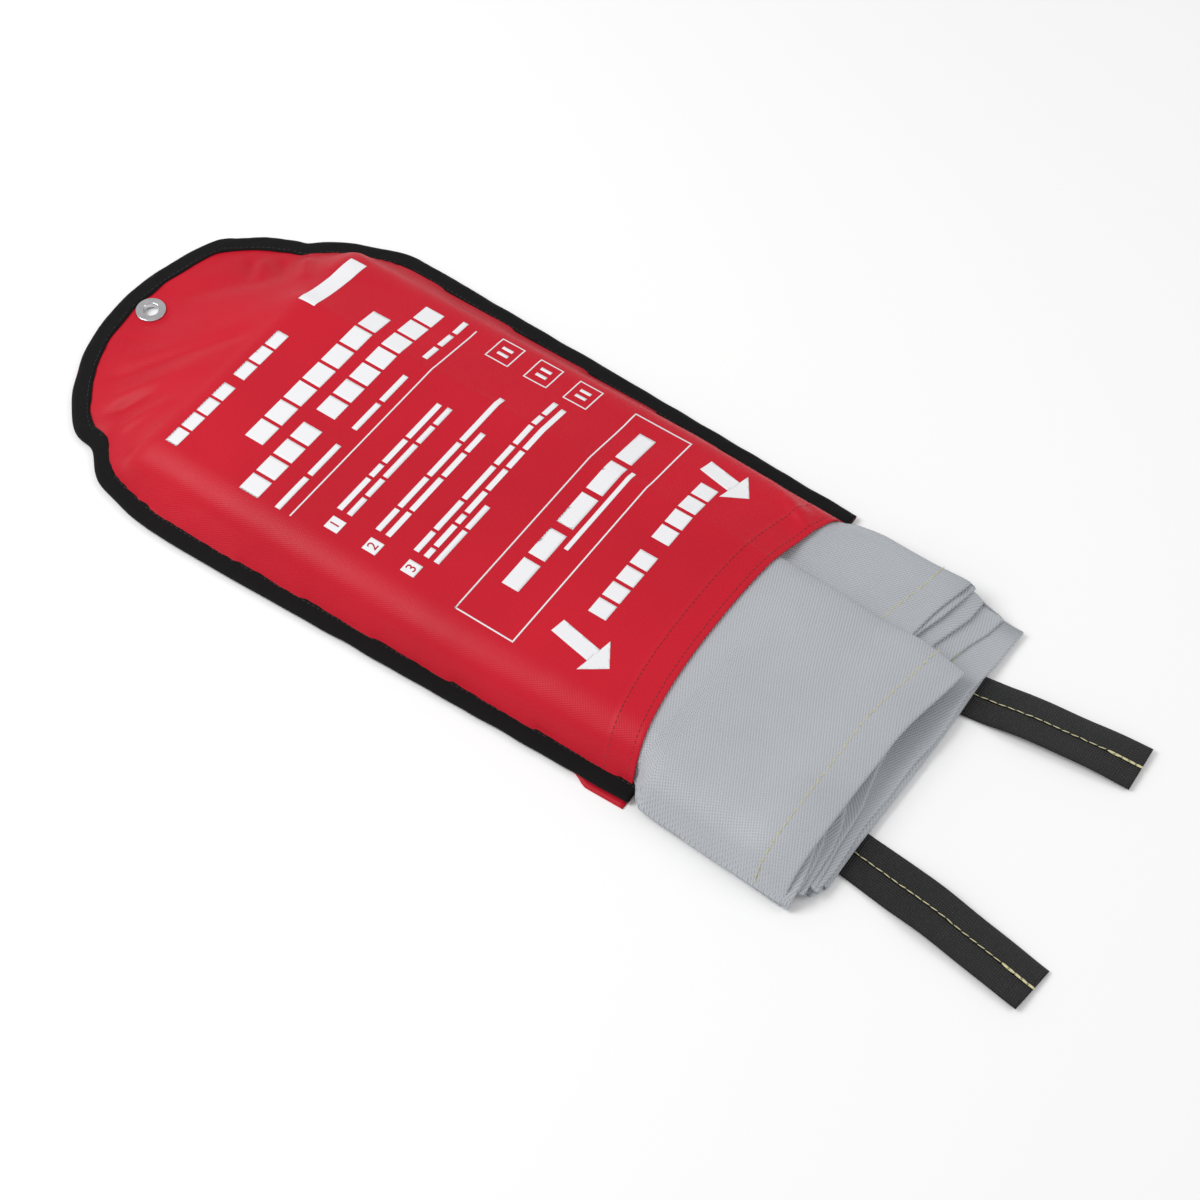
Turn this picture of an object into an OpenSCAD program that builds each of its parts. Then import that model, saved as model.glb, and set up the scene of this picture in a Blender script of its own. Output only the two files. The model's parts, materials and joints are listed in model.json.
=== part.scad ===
// Fire blanket in its red storage bag, lying flat.
// +X runs from the round head of the bag, through its open mouth, along the pull straps.
// +Y is the side of the longer-showing lower layers, +Z is up, and z = 0 is what the bag lies on.
// Sizes are in millimetres.

/* [Bag] */
// Width over the binding tape
bag_width = 266; // [260:1:290]
// Length from the top of the round head to the mouth
bag_length = 484; // [478:1:500]
// Thickness of the coated fabric of both panels
panel_cloth = 0.8; // [0.5:0.1:0.9]
// Width of the binding tape on each face
binding_width = 11.2; // [9:0.1:11.4]
// Thickness of the binding tape
binding_cloth = 0.8; // [0.5:0.1:1]
// Height of the underside of the back panel's seam margin
seam_rise = 2.2; // [2:0.1:2.6]
// Depth of the flat margin at the top of the head, where the eyelet is set
head_margin = 35; // [33:1:40]
// Depth of the turned hem at the mouth
hem_depth = 20; // [15:1:25]

/* [Eyelet] */
// Diameter of the rolled flange
eyelet_flange_d = 20; // [18:0.5:21]
// Diameter of the hole that a hook goes through
eyelet_hole_d = 10; // [8:0.5:10]
// Thickness of the eyelet's metal
eyelet_metal = 0.5; // [0.4:0.1:0.6]

/* [Blanket] */
// Length of the folded blanket, a third of the sheet's length
pack_length = 517; // [500:1:520]
// Width of the folded blanket
pack_width = 235; // [220:1:236]
// Width of the narrow top strips
top_width = 188; // [150:1:200]
// Thickness of one folded strip, which is three layers of the sheet
strip_thick = 3.4; // [3:0.1:3.5]
// How far the folded blanket shows past the mouth of the bag
pack_showing = 128; // [110:1:150]
// Distance of the hem's stitch row from the sheet's edge
blanket_hem = 27; // [20:1:30]

/* [Straps] */
// Width of a pull strap
strap_width = 31; // [25:1:38]
// Thickness of a pull strap, two layers of tape
strap_thick = 1.6; // [1.2:0.1:1.8]
// Furthest reach of the near strap past the mouth
near_reach = 246; // [220:1:300]
// Furthest reach of the far strap past the mouth
far_reach = 228; // [210:1:246]
// Sideways place of the near strap's root
near_root_y = -77; // [-95:1:-60]
// Sideways place of the far strap's root
far_root_y = 51; // [45:1:90]
// Sideways turn of the near strap, in degrees
near_turn = -7; // [-10:1:0]
// Sideways turn of the far strap, in degrees
far_turn = 6; // [0:1:10]

/* [Hidden] */

red = [0.77, 0.13, 0.20];
black = [0.09, 0.09, 0.10];
grey = [0.66, 0.68, 0.70];
silver = [0.80, 0.80, 0.82];
cream = [0.86, 0.83, 0.62];
dark_red = [0.45, 0.05, 0.09];

// Places along X
head_x = -(bag_length + near_reach) / 2;
mouth_x = head_x + bag_length;
head_centre_x = head_x + bag_width / 2;
pack_end_x = mouth_x + pack_showing;
pack_start_x = pack_end_x - pack_length;
eyelet_gap = 0.2;
eyelet_x = head_x + binding_width + eyelet_gap + eyelet_flange_d / 2;

// Heights
seam_z = seam_rise + panel_cloth;
seam_top = seam_z + panel_cloth;
strip_gap = 0.2;
strip_count = 7;
layer_pitch = strip_thick + strip_gap;
pack_z = 2;
pack_top = pack_z + strip_count * strip_thick + (strip_count - 1) * strip_gap;
step_top = pack_top - 2 * layer_pitch;

// The hollow of the bag starts this far inside the binding's outer edge
hollow_inset = 12.1;
pack_clear = 0.4;
past = 1;
far = 400;

// Where the front panel rises from the seam at the head, and where it reaches its full height
margin_x = head_x + head_margin - 1.5;
crown_x = pack_start_x - 6;
// Half width of the straight front of the hollow at the head
hollow_radius = bag_width / 2 - hollow_inset;
head_flat = sqrt(pow(hollow_radius, 2) - pow(head_centre_x - head_x - head_margin, 2));
near_edge = -pack_width / 2;
far_edge = pack_width / 2;
step_edge = top_width - pack_width / 2;
hairline = 0.05;

// Threads
thread = 0.6;
thread_high = 0.25;

// Hinge line of the straps
hinge_x = pack_end_x + 2;
hinge_gap = 1.2;
strap_z = pack_z - strap_thick;
hinge_z = strap_z + strap_thick / 2;
root_length = 60;

// Plan outline of the bag, drawn in by an inset on all sides but the mouth
module outline(inset = 0, over = 0, $fn = 96) {
    width = bag_width - 2 * inset;
    translate([head_centre_x, 0]) circle(d = width);
    translate([head_centre_x, -width / 2]) square([mouth_x + over - head_centre_x, width]);
}

// Band of the outline between two insets, open at the mouth
module band(outer, inner) {
    difference() {
        outline(outer);
        outline(inner, past);
    }
}

// Plan of the hollow that holds the blanket, grown by a cloth thickness for its walls
module hollow_plan(grow = 0, over = 0, $fn = 96) {
    intersection() {
        outline(hollow_inset - grow, over, $fn = $fn);
        translate([head_x + head_margin - grow, -far / 2]) square([2 * far, far]);
    }
}

// Thin plate of the hull that shapes the front panel over the blanket
module crown_plate(y_far, z, grow, over) {
    near = near_edge - 1 - grow;
    translate([0, 0, z + grow - 0.01]) linear_extrude(0.01) intersection() {
        hollow_plan(grow, over, $fn = 64);
        translate([crown_x - grow, near]) square([far, y_far + grow - near]);
    }
}

// Space over the seam that the front panel arches over, grown to give its outside
module crown(grow = 0, over = 0, drop = 0) {
    hull() {
        translate([0, 0, seam_z - drop]) linear_extrude(0.01)
            hollow_plan(grow, over, $fn = 64);
        crown_plate(step_edge + 1.5, pack_top + pack_clear, grow, over);
        crown_plate(far_edge + 1, step_top + pack_clear, grow, over);
    }
}

module eyelet_hole(z, height) {
    translate([eyelet_x, 0, z - past])
        cylinder(r = eyelet_hole_d / 2 + eyelet_metal + 0.1, h = height + 2 * past, $fn = 64);
}

// Hairline cuts leave each panel's shape as it is, and part it into solids that are nearly convex,
// so that the bag's hollow stays open where every solid is taken as its hull
module cut_across(x) {
    translate([x, -far, -far]) cube([hairline, 2 * far, 2 * far]);
}

module cut_along(y, x_from, x_to) {
    translate([x_from, y, -far]) cube([x_to - x_from, hairline, 2 * far]);
}

module front_panel() {
    color(red) difference() {
        union() {
            translate([0, 0, seam_z]) linear_extrude(panel_cloth) outline(binding_cloth);
            crown(panel_cloth);
        }
        crown(0, past, past);
        eyelet_hole(seam_z, panel_cloth);
        cut_across(margin_x);
        cut_across(crown_x);
        for (y = [-head_flat, head_flat]) cut_along(y, margin_x, crown_x);
        for (y = [near_edge, step_edge + 2, far_edge]) cut_along(y, crown_x, far);
    }
}

module back_panel() {
    color(red) difference() {
        union() {
            linear_extrude(panel_cloth) hollow_plan(panel_cloth);
            linear_extrude(seam_z) difference() {
                hollow_plan(panel_cloth);
                hollow_plan(0, past);
            }
            translate([0, 0, seam_rise]) linear_extrude(panel_cloth) difference() {
                outline(binding_cloth);
                hollow_plan(0, past);
            }
        }
        eyelet_hole(seam_rise, panel_cloth);
        cut_across(margin_x);
    }
}

// The tape is folded over the raw edges of both panels
module edge_binding() {
    low = seam_rise - binding_cloth;
    high = seam_top + binding_cloth;
    color(black) {
        translate([0, 0, low]) linear_extrude(binding_cloth) band(0, binding_width);
        translate([0, 0, low]) linear_extrude(high - low) band(0, binding_cloth);
        translate([0, 0, seam_top]) linear_extrude(binding_cloth) band(0, binding_width);
    }
}

// Points of an arc in the eyelet's profile, as [radius, height]
function arc(r, z, size, from, to, steps = 5) =
    [for (i = [0:steps]) let (a = from + (to - from) * i / steps)
        [r + size * cos(a), z + size * sin(a)]];

// The rolled flange lies on the front panel, and the barrel's end is rolled over the washer
module eyelet() {
    hole = eyelet_hole_d / 2;
    rim = eyelet_flange_d / 2;
    barrel = hole + eyelet_metal;
    washer_z = seam_rise - panel_cloth;
    roll = 0.6;
    neck = 0.9;
    crest = seam_top + 2 * roll;
    color(silver) translate([eyelet_x, 0, 0]) rotate_extrude($fn = 96) polygon(concat(
        [[barrel, washer_z], [barrel, seam_top]],
        arc(rim - roll, seam_top + roll, roll, -90, 90),
        [[(rim + hole) / 2 + 0.6, crest + 0.15]],
        arc(hole + neck, crest - neck, neck, 90, 180),
        arc(barrel + 0.2, washer_z + 0.2, 0.7, 180, 270, 4),
        [[barrel + 1.8, washer_z - eyelet_metal], [barrel + 2, washer_z]]));
}

module eyelet_washer() {
    color(silver) translate([eyelet_x, 0, seam_rise - panel_cloth]) difference() {
        cylinder(r = eyelet_flange_d / 2 - 0.5, h = panel_cloth, $fn = 64);
        translate([0, 0, -past])
            cylinder(r = eyelet_hole_d / 2 + eyelet_metal + 0.1, h = panel_cloth + 2 * past, $fn = 64);
    }
}

// One row on each face of the tape, close to its inner edge
module binding_stitching() {
    row = binding_width - 2;
    color(black) for (z = [seam_rise - binding_cloth - thread_high, seam_top + binding_cloth])
        translate([0, 0, z]) linear_extrude(thread_high) band(row - thread, row);
}

// Distances of the two stitch rows of a mouth hem from the mouth
hem_rows = [3.5, hem_depth];

module front_hem_stitching() {
    color(dark_red) intersection() {
        difference() {
            crown(panel_cloth + thread_high);
            crown(panel_cloth, past);
            translate([-far, -far, 0]) cube([2 * far, 2 * far, seam_top + 0.5]);
        }
        for (row = hem_rows) translate([mouth_x - row, -far, 0]) cube([thread, 2 * far, far]);
    }
}

module back_hem_stitching() {
    width = bag_width - 2 * hollow_inset - 4;
    color(dark_red) for (row = hem_rows)
        translate([mouth_x - row, -width / 2, panel_cloth]) cube([thread, width, thread_high]);
}

function layer_z(k) = pack_z + k * layer_pitch;
// Outer radius of a fold that takes the sheet up by a number of layers
function fold_radius(span) = ((span + 1) * strip_thick + span * strip_gap) / 2;

// Strips from the bottom up: near end and far end of the straight stretch of each
strips = [
    for (k = [0:strip_count - 1]) [
        near_edge + fold_radius(k < 4 ? 1 : 2),
        k == 0 ? far_edge : (k < 5 ? far_edge : step_edge) - fold_radius(1)
    ]
];
// Folds as lower strip, number of layers up, and side. The last strip is turned under the top one
folds = [[0, 1, -1], [1, 1, 1], [2, 1, -1], [3, 1, 1], [4, 2, -1], [5, 1, 1]];

module strip_fold(lower, span, side) {
    radius = fold_radius(span);
    edge = side < 0 ? near_edge : (lower < 5 ? far_edge : step_edge);
    translate([edge - side * radius, layer_z(lower) + radius]) intersection() {
        difference() {
            circle(r = radius, $fn = 48);
            circle(r = radius - strip_thick, $fn = 24);
        }
        translate([side < 0 ? -2 * radius : 0, -2 * radius]) square([2 * radius, 4 * radius]);
    }
}

// The sheet is folded in three along X, then zigzag across Y. The bag's round head tucks its corners in
module blanket_sheet() {
    tuck = 0.8;
    color(grey) intersection() {
        translate([pack_start_x, 0, 0]) rotate([90, 0, 90]) linear_extrude(pack_length) {
            for (k = [0:strip_count - 1])
                translate([strips[k][0], layer_z(k)])
                    square([strips[k][1] - strips[k][0], strip_thick]);
            for (f = folds) strip_fold(f[0], f[1], f[2]);
        }
        linear_extrude(far) outline(hollow_inset + tuck, far);
    }
}

module blanket_hem_stitching() {
    row_x = pack_end_x - blanket_hem;
    edge = 4;
    color(cream) {
        translate([row_x, near_edge + 2 * edge, pack_top])
            cube([thread, top_width - 3 * edge, thread_high]);
        translate([row_x, step_edge + edge, step_top])
            cube([thread, far_edge - step_edge - 2 * edge, thread_high]);
    }
}

module strap_root(y) {
    color(black) translate([pack_end_x - root_length, y - strap_width / 2, strap_z])
        cube([hinge_x - hinge_gap - pack_end_x + root_length, strap_width, strap_thick]);
}

// Box of stitches that holds each strap's root to the sheet
module strap_anchor_stitching() {
    inset = 3;
    size = [root_length - 12, strap_width - 2 * inset];
    color(cream) for (y = [near_root_y, far_root_y])
        translate([pack_end_x - root_length + inset, y - size[1] / 2, strap_z - thread_high])
            linear_extrude(thread_high) difference() {
                square(size);
                translate([thread, thread]) square([size[0] - 2 * thread, size[1] - 2 * thread]);
            }
}

// Length from the hinge line at which a turned strap's furthest corner has a given reach
function strap_length(reach, turn) =
    (mouth_x + reach - hinge_x - strap_width / 2 * sin(abs(turn))) / cos(turn);

bartack_length = 18;
end_margin = 3;

// Places children on a strap's own line, with X along it from the hinge
module on_strap(y, turn) {
    translate([hinge_x, y, 0]) rotate([0, 0, turn]) children();
}

// The tape's long edges are folded in and meet in a groove along the middle of the top.
// Its root end is rounded about the line on which the strap bends up
module pull_strap(y, turn, reach) {
    groove = [0.4, 0.5];
    color(black) {
        difference() {
            on_strap(y, turn) difference() {
                translate([-5, -strap_width / 2, strap_z])
                    cube([strap_length(reach, turn) + 5, strap_width, strap_thick]);
                translate([-6, -groove[0] / 2, pack_z - groove[1]])
                    cube([far, groove[0], 2 * groove[1]]);
            }
            translate([hinge_x - far, -far, -far]) cube([far, 2 * far, 2 * far]);
        }
        translate([hinge_x, y - strap_width / 2, hinge_z]) rotate([-90, 0, 0])
            cylinder(d = strap_thick, h = strap_width, $fn = 32);
    }
}

module strap_stitching(y, turn, reach) {
    start = 4;
    length = strap_length(reach, turn) - start - bartack_length - end_margin;
    color(cream) on_strap(y, turn)
        translate([start, -thread / 2, pack_z]) cube([length, thread, thread_high]);
}

module strap_bartack(y, turn, reach) {
    width = 2;
    color(cream) on_strap(y, turn)
        translate([strap_length(reach, turn) - bartack_length - end_margin, -width / 2, pack_z])
            cube([bartack_length, width, thread_high]);
}

front_panel();
back_panel();
edge_binding();
eyelet();
eyelet_washer();
binding_stitching();
front_hem_stitching();
back_hem_stitching();
blanket_sheet();
blanket_hem_stitching();
strap_root(near_root_y);  // near_strap_root
strap_root(far_root_y);  // far_strap_root
strap_anchor_stitching();
pull_strap(near_root_y, near_turn, near_reach);  // near_pull_strap
strap_stitching(near_root_y, near_turn, near_reach);  // near_strap_stitching
strap_bartack(near_root_y, near_turn, near_reach);  // near_strap_bartack
pull_strap(far_root_y, far_turn, far_reach);  // far_pull_strap
strap_stitching(far_root_y, far_turn, far_reach);  // far_strap_stitching
strap_bartack(far_root_y, far_turn, far_reach);  // far_strap_bartack
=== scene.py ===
import functools
import json
import math

import bmesh
import bpy
import numpy as np
from bpy.props import FloatProperty, FloatVectorProperty, IntProperty
from mathutils.bvhtree import BVHTree
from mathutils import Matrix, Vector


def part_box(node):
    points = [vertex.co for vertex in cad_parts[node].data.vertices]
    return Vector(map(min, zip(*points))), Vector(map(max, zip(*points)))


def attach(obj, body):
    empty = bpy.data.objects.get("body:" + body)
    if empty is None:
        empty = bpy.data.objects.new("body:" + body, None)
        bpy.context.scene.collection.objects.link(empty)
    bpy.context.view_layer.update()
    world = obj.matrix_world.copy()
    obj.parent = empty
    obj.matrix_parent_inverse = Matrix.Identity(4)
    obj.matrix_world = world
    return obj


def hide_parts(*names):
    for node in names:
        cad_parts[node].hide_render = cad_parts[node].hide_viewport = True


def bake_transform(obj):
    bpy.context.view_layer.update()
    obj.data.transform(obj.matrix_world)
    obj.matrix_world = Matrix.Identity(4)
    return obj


bl_info = {
    "name": "Fire blanket in its bag",
    "version": (1, 0, 0),
    "blender": (4, 5, 0),
    "location": "3D View > Sidebar > Fire blanket",
    "description": "Builds a folded glass-cloth fire blanket in a bound bag, with print, straps and stitches",
    "category": "Add Mesh",
}

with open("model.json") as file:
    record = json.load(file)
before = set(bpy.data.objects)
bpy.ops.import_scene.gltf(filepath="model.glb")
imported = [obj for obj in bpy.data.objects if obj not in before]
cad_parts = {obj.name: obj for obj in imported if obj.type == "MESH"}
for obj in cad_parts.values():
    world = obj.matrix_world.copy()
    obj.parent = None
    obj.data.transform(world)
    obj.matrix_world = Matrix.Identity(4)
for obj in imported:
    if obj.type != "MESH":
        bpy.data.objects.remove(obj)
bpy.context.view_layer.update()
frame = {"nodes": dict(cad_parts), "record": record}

MM = 0.001  # all shapes are worked out in millimetres

# Places taken from the solids, in millimetres
HEAD_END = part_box("edge_binding")[0].x / MM
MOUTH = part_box("edge_binding")[1].x / MM
EYELET = [v / MM for v in (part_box("eyelet")[0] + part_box("eyelet")[1]) / 2]
PACK_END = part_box("blanket_sheet")[1].x / MM
JOINTS = {joint["name"]: joint for joint in frame["record"]["behaviour"]["joints"]}
HINGE_X = JOINTS["near_strap_flop"]["pos_m"][0] / MM


def eased(t):
    """0 below 0, 1 above 1 and a smooth way between."""
    t = np.clip(t, 0, 1)
    return t * t * (3 - 2 * t)


def quarter(t, low):
    """From low at 0 to 1 at 1, round like a quarter of an ellipse."""
    return low + (1 - low) * np.sqrt(1 - (1 - np.clip(t, 0, 1)) ** 2)


def bump(x, centre, width):
    return np.exp(-(((x - centre) / width) ** 2))


def ripple(x, y, seed, size):
    """Quiet, smooth unevenness of cloth, from about -1 to 1: a few crossing waves with places of their own."""
    draw = np.random.default_rng(seed)
    total = 0
    for _ in range(6):
        turn, phase, stretch = draw.uniform(0, math.tau), draw.uniform(0, math.tau), draw.uniform(0.7, 1.7)
        total = total + np.sin((x * math.cos(turn) + y * math.sin(turn)) * stretch * math.tau / size + phase)
    return total / 3.2


def run_along(points):
    """Length of a line of points from its first one to each."""
    return np.concatenate([[0], np.cumsum(np.linalg.norm(np.diff(points, axis=0), axis=1))])


def from_eyelet(x, y):
    return np.hypot(x - EYELET[0], y - EYELET[1])


def clear_of_eyelet(x, y):
    """Where the panels' cloth is whole: everywhere but at the hole for the eyelet's barrel."""
    return from_eyelet(x, y) > 6.2


# ---- the bag's shape

HEAD_RADIUS = 136.0
HEAD_CENTRE = HEAD_END + HEAD_RADIUS
TAPER = 13.5  # how far the stuffed bag draws in towards its mouth, on each side
DENTS = (  # side, x, depth and width of the pinches (and, below zero, the swells) in the bag's edge
    (-1, -298, 8.4, 12),
    (-1, -255, 3.4, 40),
    (1, -301, 10.5, 26),
    (1, -297, 2.6, 6),
    (1, -262, 4.8, 22),
    (1, -350, -8.0, 10),
    (1, -60, -1.5, 150),
)
TAPE = 11.9  # width of the edge tape on each face
SEAM = 3.0  # height at which the two panels meet
PANEL = 0.8  # thickness of a panel
CUT_IN = 0.7  # how far a panel's raw edge stays inside the outline
HEM = 20.0


def dent(x, side):
    """How far the bag's edge is pinched in at x."""
    return sum(depth * bump(x, centre, width) for at, centre, depth, width in DENTS if at == side)


def half_width(x, side):
    """Half width of the bag's outline at x, on the near side (-1) or the far side (1)."""
    x = np.asarray(x, float)
    head = np.sqrt(np.maximum(HEAD_RADIUS**2 - (x - HEAD_CENTRE) ** 2, 0))
    run = np.clip((x - HEAD_CENTRE) / (MOUTH - HEAD_CENTRE), 0, 1)
    return np.where(x < HEAD_CENTRE, head, HEAD_RADIUS - TAPER * run**0.85) - dent(x, side)


def edge_gap(x, y):
    """Distance of a place on the bag from the outline, near enough."""
    half = np.where(y < 0, half_width(x, -1), half_width(x, 1))
    beside = half - np.abs(y)
    away = np.hypot(x - HEAD_CENTRE, y)
    pinch = np.where(y < 0, dent(x, -1), dent(x, 1)) * np.abs(y) / np.maximum(away, 1)
    return np.where(x < HEAD_CENTRE, HEAD_RADIUS - away - pinch, beside)


# ---- the pack's shape

LAYERS = 21  # three thirds of seven strips
PITCH = 25.0 / LAYERS  # height of one layer
ROLLED, HEMMED = 0.56, 1.9  # height of a layer at the open end, in the rolls and among the hemmed strips on top
PACK_START, ROLL_END = -270.0, 241.8
PACK_INSIDE = 113  # half width of the pack where the bag leaves it room
PACK_OUTSIDE = {-1: (121, 122.3, 127.2), 1: (112, 113, 111)}  # half widths of the pack beyond the mouth


def pack_side(x, side):
    """Place of the pack's side at x: held in by the seam inside the bag, and spread beyond the mouth."""
    inner = np.minimum(PACK_INSIDE, half_width(np.minimum(x, MOUTH), side) - TAPE - 2.6)
    outer = np.interp(x, (MOUTH, MOUTH + 18, PACK_END), PACK_OUTSIDE[side])
    free = eased((x - MOUTH + 4) / 11)
    return side * (inner * (1 - free) + outer * free)


def flap_far(x):
    """The far fold of the two narrower strips on top."""
    return 58 - 6 * eased((x - 60) / 170)


def beyond_flap(x, y):
    """0 under the flap's two strips and 1 beyond them."""
    return eased((y - flap_far(x) + 7) / 15)


def strap_line(x, near):
    """Middle line of a strap across the bag."""
    return -76.2 - 0.128 * (x - 243) if near else 53 + 0.108 * (x - 243)


def pack_base(x, y):
    """The surface that the pack lies on: the back panel, the straps' roots or the floor."""
    over_strap = np.maximum(bump(y, -77, 24), bump(y, 51, 24))
    outside = 0.55 + 1.5 * over_strap
    return 1.35 + (outside - 1.35) * eased((x - 124) / 16)


def squeeze(x, y):
    """How far the pack's thickness is pressed together, least at its rounded sides and ends."""
    free = eased((x - MOUTH) / 30)
    near = y - pack_side(x, -1)
    far = pack_side(x, 1) - y
    sides = np.minimum(quarter(near / 27, 0.17), quarter(far / (25 - 12 * free), 0.42 + 0.36 * free))
    ends = quarter((x - PACK_START) / 20, 0.4) * (1 - (0.45 + 0.17 * eased((y - 40) / 50)) * eased((x - 195) / 50))
    return sides * ends


def pack_height(x, y, layer):
    """Height of a layer: even inside the bag; at the open end the rolls lie flat and the top strips stand fuller."""
    rolled = 14 - 4 * beyond_flap(x, y)
    open_end = ROLLED * np.minimum(layer, rolled) + HEMMED * np.maximum(layer - rolled, 0)
    sides = squeeze(x, y)
    inside = PITCH * layer * sides
    return pack_base(x, y) + inside + (open_end * sides / 0.72 - inside) * eased((x - 175) / 35)


def pack_top(x, y):
    return pack_height(x, y, LAYERS - 6 * beyond_flap(x, y))


# ---- the front panel's height

GRID = 2.0
SWEEPS = 1400  # passes that draw the panel tight
CREASES = (  # from, to, half width and rise of the creases pressed into the head and the mouth
    ((-330, -66), (-272, 6), 6.0, -2.0),
    ((-318, -84), (-280, -30), 6.0, 1.4),
    ((-312, -92), (-290, -60), 4.0, -1.6),
    ((-300, -108), (-274, -62), 4.0, 1.8),
    ((-292, -116), (-266, -92), 4.0, -1.6),
    ((-322, 76), (-308, 58), 3.5, -1.6),
    ((-316, 86), (-300, 60), 3.5, 1.3),
    ((-306, 94), (-288, 66), 4.0, -2.0),
    ((-296, 104), (-274, 74), 4.5, 1.8),
    ((-345, 10), (-296, 58), 9.0, -1.6),
    ((-352, -30), (-318, -22), 7.0, -0.7),
    ((84, 97), (106, 88), 4.0, 2.0),
    ((66, 107), (100, 96), 3.5, 1.4),
    ((92, 78), (108, 72), 6.0, -0.8),
    ((60, -112), (98, -100), 6.0, 0.8),
)


def crease(x, y, start, end, width, rise):
    """Rise of a soft ridge or, below zero, a furrow between two places."""
    run = np.array(end, float) - start
    long = np.hypot(*run)
    along = ((x - start[0]) * run[0] + (y - start[1]) * run[1]) / long
    off = ((x - start[0]) * run[1] - (y - start[1]) * run[0]) / long
    past = np.maximum(np.maximum(-along, along - long), 0)
    taper = np.clip(1 - np.abs(along - long / 2) / long, 0.2, 1)
    return rise * taper * np.exp(-((off / width) ** 2) - (past / (1.3 * width)) ** 2)


@functools.lru_cache(maxsize=1)
def stretched_panel():
    """Height of the front panel over the bag: cloth drawn tight over the pack from seam to seam, then creased."""
    xs = np.arange(HEAD_END - 4, MOUTH + 7, GRID)
    ys = np.arange(-140, 141, GRID)
    x, y = np.meshgrid(xs, ys, indexing="ij")
    gap = edge_gap(x, y)
    seam = SEAM + PANEL / 2
    fixed = (gap < TAPE - 1) | (from_eyelet(x, y) < 14)
    on_pack = (x > PACK_START) & (y > pack_side(x, -1)) & (y < pack_side(x, 1)) & (gap > TAPE)
    floor = np.where(on_pack, pack_top(x, y) + 0.55, seam)
    high = np.where(fixed, seam, 22.0)
    for _ in range(SWEEPS):
        high[-1] = high[-2]
        middle = 0.25 * (high[2:, 1:-1] + high[:-2, 1:-1] + high[1:-1, 2:] + high[1:-1, :-2])
        drawn = np.maximum(high[1:-1, 1:-1] * 0.04 + middle * 0.96, floor[1:-1, 1:-1])
        high[1:-1, 1:-1] = np.where(fixed[1:-1, 1:-1], seam, drawn)
    high[-1] = high[-2]
    loose = eased((gap - TAPE) / 16) * np.clip(from_eyelet(x, y) / 14 - 1, 0, 1)
    marks = 1.5 * sum(crease(x, y, *c) for c in CREASES)
    marks = marks + 0.35 * ripple(x, y, 3, 95) + 0.12 * ripple(x, y, 5, 34)
    pucker = 0.35 * bump(gap, TAPE + 5, 6) * ripple(x, y * 0.3, 8, 24)
    high = high + (marks * loose + pucker * np.clip(loose * 3, 0, 1)) * ~fixed
    return xs, ys, np.where(on_pack, np.maximum(high, floor + 0.3), high)


def panel_height(x, y):
    """Height of the drawn panel at any place."""
    xs, ys, high = stretched_panel()
    i = np.clip((np.asarray(x, float) - xs[0]) / GRID, 0, len(xs) - 1.001)
    j = np.clip((np.asarray(y, float) - ys[0]) / GRID, 0, len(ys) - 1.001)
    a, b = i.astype(int), j.astype(int)
    u, v = i - a, j - b
    near = high[a, b] * (1 - u) + high[a + 1, b] * u
    far = high[a, b + 1] * (1 - u) + high[a + 1, b + 1] * u
    return near * (1 - v) + far * v


def mouth_line(y):
    """Where the front panel's mouth edge ends up, drawn back over the pack."""
    return MOUTH - 0.8 - 17.7 * (1 - np.clip(np.abs(np.asarray(y) + 2) / 121, 0, 1) ** 2.4)


def placed(flat_x, y):
    """Place along the bag of the front panel's flat cloth."""
    back = MOUTH - mouth_line(y)
    return flat_x - back * eased((flat_x + 90) / (MOUTH + 90))


def front_height(x, y):
    """Height of the front panel, a cloth higher over its turned hem."""
    beside_tape = eased((edge_gap(x, y) - TAPE + 1) / 5)
    return panel_height(x, y) + 0.5 * eased((x - mouth_line(y) + HEM + 1) / 2.2) * beside_tape


def back_height(x, y):
    """Height of the back panel: on the floor, and up to the seam along its edge and at the eyelet."""
    gap = edge_gap(x, y)
    low = 0.45 + (SEAM - PANEL / 2 - 0.45) * eased((26 - gap) / 15)
    by_eyelet = eased(2 - from_eyelet(x, y) / 15)
    return np.maximum(low, (SEAM - PANEL / 2) * by_eyelet)


# ---- mesh helpers


def new_object(name, mesh, slot=None):
    """A piece of that mesh, with the finish of one of the record's slots."""
    obj = bpy.data.objects.new(name, mesh)
    bpy.context.scene.collection.objects.link(obj)
    if slot:
        mesh.materials.append(finish_of(slot))
    return obj


def plain_mesh(obj):
    """Turns an object's modifiers into its mesh."""
    graph = bpy.context.evaluated_depsgraph_get()
    mesh = bpy.data.meshes.new_from_object(obj.evaluated_get(graph))
    mesh.name = obj.name
    old, obj.data = obj.data, mesh
    obj.modifiers.clear()
    bpy.data.meshes.remove(old)
    mesh.shade_smooth()
    return obj


def thickened(obj, thick, offset):
    solid = obj.modifiers.new("Thickness", "SOLIDIFY")
    solid.thickness, solid.offset = thick * MM, offset
    return plain_mesh(obj)


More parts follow.
